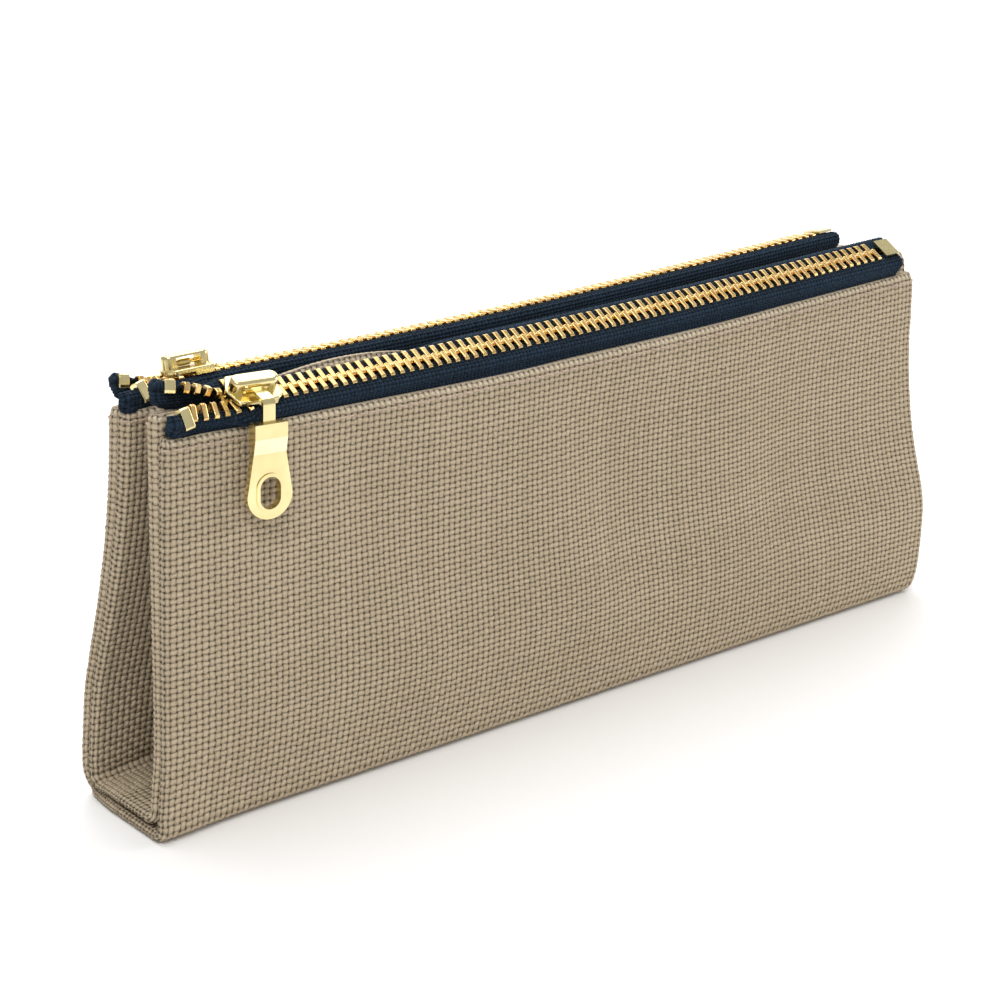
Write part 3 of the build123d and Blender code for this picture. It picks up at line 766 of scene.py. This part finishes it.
def tape_section(zip_shape, role, place):
    """The tape's middle line at one place along the zip, from the teeth down into the pocket."""
    wall = WALLS[wall_key(zip_shape, role)]
    x = ZIP_NEAR_X + place
    origin, outward, face = row_frame(zip_shape, role, min(max(place, 0), TAPE_END))
    parted = min(max((zip_shape["slider"] - 2.0 - place) / 4, 0), 1)
    turn = TAPE_TURN + (TAPE_TURN_MIN - TAPE_TURN) * parted
    share = np.clip((x - TOP_NEAR_X) / (TOP_FAR_X - TOP_NEAR_X), 0, 1)
    pocket = 1 if wall_key(zip_shape, role) in ("front_panel", "back_inner_wall") else -1
    layer = CANVAS + 0.15 + TAPE / 2

    raised = float(lifted(x)) if wall is WALLS["front_inner_wall"] else 0.0

    def on_wall(z):
        aside = LIFT_ASIDE * raised * float(swelling(z, wall["top"], LIFT_REACH))
        return np.array([float(wall_face(wall, share, z)) + pocket * layer - aside, z])

    # Where the wall stands up, the tape turns down sooner and deeper behind it.
    drop = TAPE_DROP * (1 - 0.6 * parted) + 1.4 * raised
    turn = turn - 1.2 * raised
    shoulder = origin + outward * turn - face * drop
    hem, foot = on_wall(wall["top"] + 0.35), on_wall(wall["top"] - TAPE_HIDDEN)
    corners = [origin + outward * TAPE_EDGE, origin + outward * turn, shoulder, hem, foot]
    return smooth_line(corners, 2, TAPE_ROWS + 1)


def tape_places():
    """Places of a tape's columns, close together over its rounded nose, in whole coarse steps."""
    nose = TAPE_START + NOSE_LENGTH * (1 - np.cos(np.linspace(0, pi / 2, NOSE_COLUMNS)))
    places = np.concatenate([nose, np.arange(2.2, TAPE_END - 0.2, TAPE_COLUMN)])
    last = (1 - len(places)) % COARSE_STEP + COARSE_STEP
    return np.concatenate([places, np.linspace(places[-1] + 0.1, TAPE_END, last)])


def make_tape(zip_name, role):
    """One woven tape, from beside its teeth down behind the canvas, rolled up at its near end."""
    zip_shape = ZIPS[zip_name]
    keys = np.concatenate([np.arange(0, 26, 0.6), np.arange(27, TAPE_END, 3.0), [TAPE_END]])
    sections = [tape_section(zip_shape, role, place) for place in keys]
    lines = np.array([line for line, _ in sections])
    places = tape_places()
    at = np.clip(places, 0, TAPE_END)
    line = np.stack([
        np.stack([np.interp(at, keys, lines[:, row, axis]) for axis in range(2)], -1)
        for row in range(TAPE_ROWS + 1)
    ], 1)
    tangent = np.gradient(line, axis=1)
    tangent /= np.linalg.norm(tangent, axis=2, keepdims=True)
    normal = np.stack([-tangent[..., 1], tangent[..., 0]], -1) * row_side(zip_shape, role)
    down = np.linspace(0, 1, TAPE_ROWS + 1)

    # The near end is rolled up into a thick bundle with a rounded nose.
    roll = np.clip(1 - (places - TAPE_START) / (END_ROLL - TAPE_START), 0, 1) ** 0.7
    bundle = np.sin(pi * np.clip(down / 0.46, 0, 1)) ** 0.6
    past_nose = np.clip((TAPE_START + NOSE_LENGTH - places) / NOSE_LENGTH, 0, 1)
    round_nose = np.sqrt(np.clip(1 - past_nose**2, 0.03, 1))
    rolled = (roll * round_nose)[:, None]
    half = TAPE / 2 * np.maximum(round_nose, 0.5)[:, None] + ROLL_THICKNESS * rolled * bundle[None, :]
    place_grid, down_grid = places[:, None], down[None, :]
    lumps = 0.42 * np.sin(place_grid * 1.7 + down_grid * 9) * np.sin(down_grid * 17 - place_grid * 0.9)
    half = half + lumps * rolled * bundle[None, :]

    inset = zip_shape[role + "_inset"] * np.clip(1 - places / 12, 0, 1)
    x = ZIP_NEAR_X + (places + inset)[:, None] + np.zeros_like(half)
    # Low down, the near end is drawn back out of sight between the walls.
    tuck = np.clip((down - 0.36) / 0.16, 0, 1)[None, :] * np.clip(1 - places / 14, 0, 1)[:, None]
    x = x + NEAR_TUCK * tuck
    line[..., 1] -= sag(ZIP_NEAR_X + places)[:, None]
    upper = np.concatenate([x[..., None], line + normal * half[..., None]], -1)
    lower = np.concatenate([x[..., None], line - normal * half[..., None]], -1)
    u = np.repeat((places / (2 * TAPE_COLUMN))[:, None], TAPE_ROWS + 1, axis=1)
    v = np.repeat((down * TAPE_ROWS / 2)[None, :], len(places), axis=0)
    relief = weave_height(u, v) * TAPE_RELIEF
    relief[:, :2] *= 0.3
    upper = upper + grid_normals(upper, lower) * relief[..., None]
    tape = make_slab(f"{zip_name}_{role}_woven_tape", upper, lower, np.stack([u, v], -1), TAPE_CLOTH)
    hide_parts(f"{zip_name}_zip_{role}_tape")
    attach(tape, zip_name + "_pouch")


def wall_key(zip_shape, role):
    return zip_shape[role + "_wall"]


def tooth_mesh(length, head, back, half_height, hooked):
    """One metal clamp: (x, u, w) points; u points away from the chain, w out of the tape's face."""
    shape = bmesh.new()
    half = length / 2
    slot = 0.35             # half the width of the slot that takes the tape
    root = 0.75             # where that slot ends
    outline = [
        (-head, -half_height * 0.55), (-head + 0.25, -half_height),
        (back - 0.35, -half_height), (back, -half_height + 0.3),
        (back, -slot), (root, -slot), (root, slot), (back, slot),
        (back, half_height - 0.3), (back - 0.35, half_height),
        (-head + 0.25, half_height), (-head, half_height * 0.55),
    ]
    rings = []
    for x, inset in ((-half, 0.12), (-half + 0.14, 0.0), (half - 0.14, 0.0), (half, 0.12)):
        squeeze = 1 - inset / half_height
        ring = [shape.verts.new((x, u + (inset if u < 0 else 0), w * squeeze)) for u, w in outline]
        rings.append(ring)
    for first, second in zip(rings, rings[1:]):
        for index in range(len(outline)):
            after = (index + 1) % len(outline)
            shape.faces.new((first[index], first[after], second[after], second[index]))
    shape.faces.new(rings[0][::-1])
    shape.faces.new(rings[-1])
    if hooked:
        cup = bmesh.ops.create_icosphere(shape, subdivisions=1, radius=0.42)
        for vert in cup["verts"]:
            x, u, w = vert.co
            vert.co = Vector((x * 0.9, u * 0.7 - head + 0.35, w * 0.8 + half_height - 0.12))
    points = np.array([v.co for v in shape.verts])
    shape.verts.index_update()
    faces = [[v.index for v in f.verts] for f in shape.faces]
    shape.free()
    return points, faces


TOOTH = tooth_mesh(1.15, 0.62, 2.75, 1.05, True)
TOP_STOP = tooth_mesh(2.1, 0.1, 4.0, 1.3, False)
SHORT_TOOTH = tooth_mesh(1.3, 0.8, 0.9, 1.05, False)
METAL_BEVEL = 0.2
PULL_BEVEL = 0.28
STOP_SHIFT = 0.7        # how much further along the top stops sit than in the CAD model
STOP_SLANT = -0.22


def soften(piece, width, segments):
    """Rounded edges, as a modifier; width is in millimetres."""
    bevel = piece.modifiers.new("soft_edges", "BEVEL")
    bevel.width = width * MM
    bevel.segments = segments
    bevel.limit_method = "ANGLE"


def make_row(zip_name, role, part, shape, places, slant=0.0):
    """One row of metal clamps, each seated on its tape at a place along the zip."""
    zip_shape = ZIPS[zip_name]
    points, faces, count = [], [], 0
    hooked_over = zip_shape[role + "_end_lean"] < 0
    random = np.random.default_rng(len(zip_name) * 7 + len(role))
    for place in places:
        # Where a row lies flat in the open V, the tape hides all but the heads of its teeth.
        flat = hooked_over and part == "teeth" and place < zip_shape["slider"] - 4
        local, local_faces = SHORT_TOOTH if flat else shape
        origin, outward, face = row_frame(zip_shape, role, place)
        ahead = row_frame(zip_shape, role, place + 0.5)[0] - row_frame(zip_shape, role, place - 0.5)[0]
        along = Vector((1.0, ahead[0], ahead[1])).normalized()
        outward3 = Vector((0, *outward))
        outward3 = (outward3 - along * outward3.dot(along)).normalized()
        face3 = Vector((0, *face))
        face3 = (face3 - along * face3.dot(along) - outward3 * face3.dot(outward3)).normalized()
        tilt = random.normal(0, 0.025) + slant
        axes = np.array([along + outward3 * tilt, outward3 - along * tilt, face3])
        base = np.array([ZIP_NEAR_X + place, origin[0], origin[1] - sag(ZIP_NEAR_X + place)])
        faces += [[index + count for index in f] for f in local_faces]
        count += len(local)
        points.append(base + local @ axes)
    name = f"{zip_name}_{role}_metal_{part}"
    row = make_object(name, np.concatenate(points), faces, BRASS if part == "teeth" else GOLD, smooth=False)
    soften(row, METAL_BEVEL, 2)
    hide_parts(f"{zip_name}_zip_{role}_{part}")
    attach(row, zip_name + "_pouch")


def make_zips():
    for zip_name, zip_shape in ZIPS.items():
        for role in ("outer", "inner"):
            make_tape(zip_name, role)
            start = FIRST_TOOTH if row_side(zip_shape, role) < 0 else FIRST_TOOTH + TOOTH_PITCH / 2
            count = int((LAST_TOOTH - start) / TOOTH_PITCH)
            make_row(zip_name, role, "teeth", TOOTH, [start + index * TOOTH_PITCH for index in range(count + 1)])
            make_row(zip_name, role, "top_stop", TOP_STOP, [STOP_PLACE + STOP_SHIFT], STOP_SLANT)


# ---------------------------------------------------------------- metal from the CAD model

SLOPE_MIN, SLOPE_MAX = 0.9, 0.995   # how squarely a sloping face looks outwards
SMALL_FACE = 1e-6                   # square metres


def paint_collar_highlight(node, outer):
    """The large faces that slope between a pull's collar and its plate get a brighter gold: a painted highlight.
    """
    node.data.materials.append(PAINTED_HIGHLIGHT_GOLD)
    turn = node.matrix_world.to_3x3()
    for face in node.data.polygons:
        normal = turn @ face.normal
        sloping = SLOPE_MIN < normal.y * outer < SLOPE_MAX and normal.z < -0.1
        if sloping and face.area > SMALL_FACE:
            face.material_index = 1


def paint_cad_nodes():
    """The sliders, pulls and small fittings keep their CAD shape, with rounded edges and a metal finish; the
    pulls' collar slopes get a painted highlight.
    """
    for name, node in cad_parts.items():
        if node.hide_render:
            continue
        node.data.materials.clear()
        node.data.materials.append(GOLD)
        if "pull" in name:
            paint_collar_highlight(node, 1 if name.startswith("back") else -1)
        soften(node, PULL_BEVEL if "pull" in name else METAL_BEVEL, 3)


make_camera()
make_studio()
make_canvas()
make_zips()
paint_cad_nodes()
